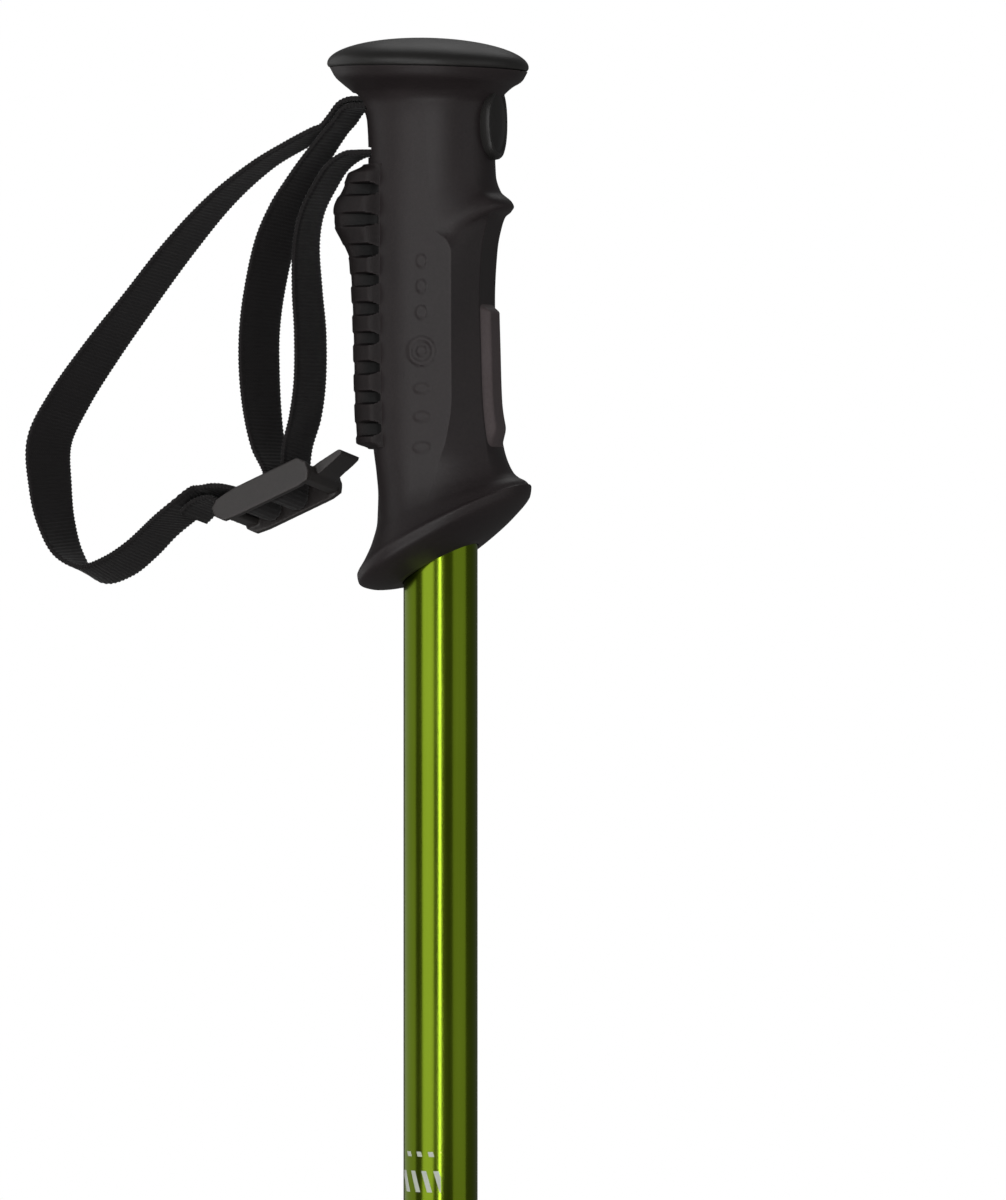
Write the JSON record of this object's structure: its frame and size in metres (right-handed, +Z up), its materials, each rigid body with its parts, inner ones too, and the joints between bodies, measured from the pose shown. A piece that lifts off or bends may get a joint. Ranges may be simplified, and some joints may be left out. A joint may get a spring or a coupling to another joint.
{
  "type": "alpine ski pole",
  "caption": "Alpine ski pole: tapered green anodised aluminium shaft, black moulded grip with a flared cap, ribbed palm pad, webbing wrist strap with ladder buckle, snow basket and steel tip.",
  "frame": {"origin": "centre of the flat end of the steel tip", "axes": "+Z up the shaft's axis to the cap, +X the side the fingers close on, -X the palm side where the strap leaves the grip"},
  "size_m": [0.1356, 0.058, 1.2],
  "materials": {
    "grip_rubber": "soft moulded rubber, satin",
    "grip_plastic": "moulded plastic, fine texture",
    "strap_webbing": "ribbed flat webbing",
    "buckle_plastic": "moulded acetal, worn satin",
    "shaft_aluminium": "yellow-green anodised, gloss",
    "bright_steel": "turned steel"
  },
  "bodies": {
    "pole": {"shaft": "shaft_aluminium", "grip_body": "grip_rubber", "grip_cap": "grip_plastic", "palm_pad": "grip_rubber", "finger_pad": "grip_rubber", "front_badge": "grip_plastic", "strap_pin": "bright_steel", "tip_ferrule": "grip_plastic", "basket": "grip_plastic", "tip_stud": "bright_steel", "short_band_fold": "strap_webbing", "wrist_band_root": "strap_webbing"},
    "strap": {"wrist_band_neck": "strap_webbing", "short_band_neck": "strap_webbing", "wrist_band": "strap_webbing", "short_band": "strap_webbing"},
    "buckle": {"buckle_frame": "buckle_plastic", "threaded_band": "strap_webbing"}
  },
  "joints": [
    {"name": "strap_swing", "type": "hinge", "parent": "pole", "child": "strap", "pos_m": [-0.0209, 0, 1.186], "axis": [0, 1, 0], "range_deg": [0, 55]},
    {"name": "buckle_tilt", "type": "hinge", "parent": "strap", "child": "buckle", "pos_m": [-0.0398, -0.002, 1.0896], "axis": [0.0706, 0.9848, -0.1586], "range_deg": [-15, 0]}
  ]
}
